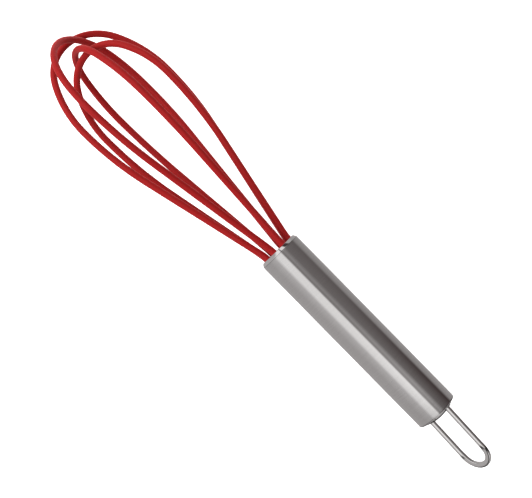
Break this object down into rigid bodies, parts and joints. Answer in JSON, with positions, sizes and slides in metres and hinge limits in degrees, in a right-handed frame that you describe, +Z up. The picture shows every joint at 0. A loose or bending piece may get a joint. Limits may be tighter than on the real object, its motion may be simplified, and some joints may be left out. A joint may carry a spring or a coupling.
{
  "type": "balloon whisk",
  "caption": "Balloon whisk with silicone-coated wire loops, a straight steel tube handle and a wire hanging loop.",
  "frame": {"origin": "on the surface that the whisk lies on, under the middle of its overall box", "axes": "+X from the hanging loop to the tip of the wire loops, +Z up from the surface"},
  "size_m": [0.2481, 0.047, 0.0472],
  "materials": {
    "stainless_brushed": "fine circumferential grinding, satin",
    "stainless_polished": "polished",
    "spring_steel": "drawn wire, satin",
    "silicone_red": "smooth satin moulded silicone",
    "resin": "cast, matt"
  },
  "bodies": {
    "root": {"handle_tube": "stainless_brushed", "front_cap": "stainless_polished", "wire_resin": "resin", "rear_cap": "stainless_polished", "hang_loop": "stainless_polished", "weld_beads": "spring_steel", "wire_core_a": "spring_steel", "silicone_sleeve_a": "silicone_red", "wire_core_b": "spring_steel", "silicone_sleeve_b": "silicone_red", "wire_core_c": "spring_steel", "silicone_sleeve_c": "silicone_red", "wire_core_d": "spring_steel", "silicone_sleeve_d": "silicone_red"}
  },
  "joints": []
}
